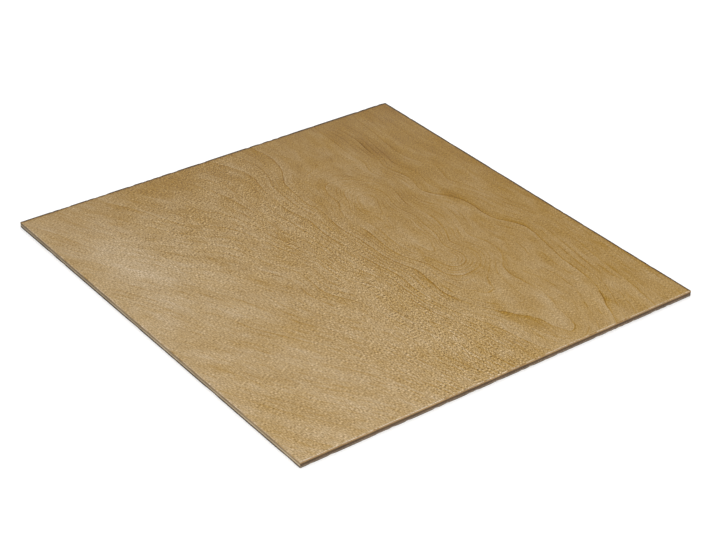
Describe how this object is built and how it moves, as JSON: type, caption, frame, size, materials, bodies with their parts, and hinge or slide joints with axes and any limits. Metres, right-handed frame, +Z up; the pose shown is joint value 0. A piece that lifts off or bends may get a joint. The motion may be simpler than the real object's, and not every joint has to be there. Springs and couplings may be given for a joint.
{
  "type": "plywood sheet",
  "caption": "Flat rectangular sheet of thin plywood: show and back veneers glued across a crossband core, edges sawn square and lightly eased. Raw stock for cutting, gluing and panelling.",
  "frame": {"origin": "centre of the back face, which lies on the floor", "axes": "+Z up, out of the show face; Y along the face grain, the longer side; X across it, along the core's grain"},
  "size_m": [0.3, 0.31, 0.004],
  "materials": {
    "face_veneer": "rotary-cut light hardwood veneer, machine sanded, unfinished and matt",
    "core_veneer": "crossband veneer, seen only as a sawn edge, unfinished and matt",
    "back_veneer": "rotary-cut light hardwood veneer, machine sanded, unfinished and matt"
  },
  "bodies": {
    "root": {"face_veneer": "face_veneer", "core_veneer": "core_veneer", "back_veneer": "back_veneer"}
  },
  "joints": []
}
